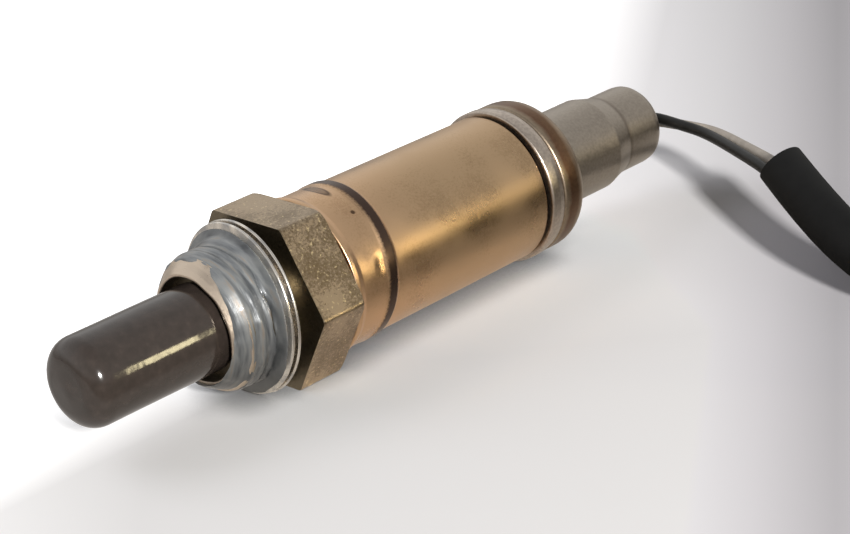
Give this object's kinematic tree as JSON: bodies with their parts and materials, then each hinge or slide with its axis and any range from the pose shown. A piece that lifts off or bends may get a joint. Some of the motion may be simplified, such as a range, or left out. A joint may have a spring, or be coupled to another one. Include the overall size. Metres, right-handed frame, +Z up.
{
  "type": "exhaust oxygen sensor",
  "caption": "Screw-in exhaust gas oxygen sensor with wrench hex, captive gasket, gold steel body, pull-off tip cap and a sleeved lead coiled to its plug",
  "frame": {"origin": "under the middle of the sensor without its lead, on the surface that the sensor lies on", "axes": "+X along the sensor's axis from the tip cap to where the wires leave, +Y across it, away from the coiled lead, +Z up out of the surface"},
  "size_m": [0.154, 0.1314, 0.0228],
  "materials": {
    "cap_vinyl": "semi-gloss dark brown dipped vinyl",
    "tube_steel": "satin stainless steel",
    "shell_nickel": "grainy bronze-tinted nickel plate with grease on the thread",
    "gasket_steel": "bright folded sheet steel",
    "zirconia": "off-white fired ceramic",
    "packing": "pressed mineral powder",
    "ceramic": "white fired ceramic",
    "contact_metal": "plated contact metal",
    "spring_steel": "plain spring steel",
    "spacer_plastic": "natural fluoropolymer",
    "sleeve_gold": "satin steel with a gold heat tint and fine speckle, dark weld line",
    "band_nickel": "satin nickel",
    "cover_bronze": "satin steel, brown heat tint on the shoulder",
    "grommet_rubber": "dark red-brown rubber",
    "wire_black": "black wire insulation",
    "wire_grey": "light grey wire insulation",
    "lead_black": "black sleeving, faint sheen",
    "tie_plastic": "black nylon",
    "plug_plastic": "moulded dark grey nylon",
    "seal_rubber": "soft seal rubber",
    "lock_plastic": "moulded light plastic"
  },
  "bodies": {
    "sensor": {"outer_protection_tube": "tube_steel", "inner_protection_tube": "tube_steel", "shell": "shell_nickel", "gasket": "gasket_steel", "seal_ring": "gasket_steel", "sensing_thimble": "zirconia", "powder_packing": "packing", "ceramic_support": "ceramic", "contact_bush": "contact_metal", "signal_rod": "contact_metal", "disc_spring": "spring_steel", "spring_cup": "spring_steel", "ground_ring": "contact_metal", "terminal_block": "ceramic", "terminal_black": "contact_metal", "terminal_grey": "contact_metal", "spacer_sleeve": "spacer_plastic", "protective_sleeve": "sleeve_gold", "retaining_band": "band_nickel", "rear_cover": "cover_bronze", "grommet": "grommet_rubber", "wire_black": "wire_black", "wire_grey": "wire_grey", "lead_sleeve": "lead_black", "lead_coil": "lead_black", "lead_end": "lead_black", "coil_tie": "tie_plastic", "plug_housing": "plug_plastic", "plug_seal": "seal_rubber", "plug_boot": "plug_plastic", "plug_lock": "lock_plastic", "plug_pin_1": "contact_metal", "plug_pin_2": "contact_metal"},
    "cap": {"tip_cap": "cap_vinyl"}
  },
  "joints": [
    {"name": "cap_slide", "type": "slide", "parent": "sensor", "child": "cap", "axis": [-1, 0, 0], "range_m": [0, 0.022]}
  ]
}
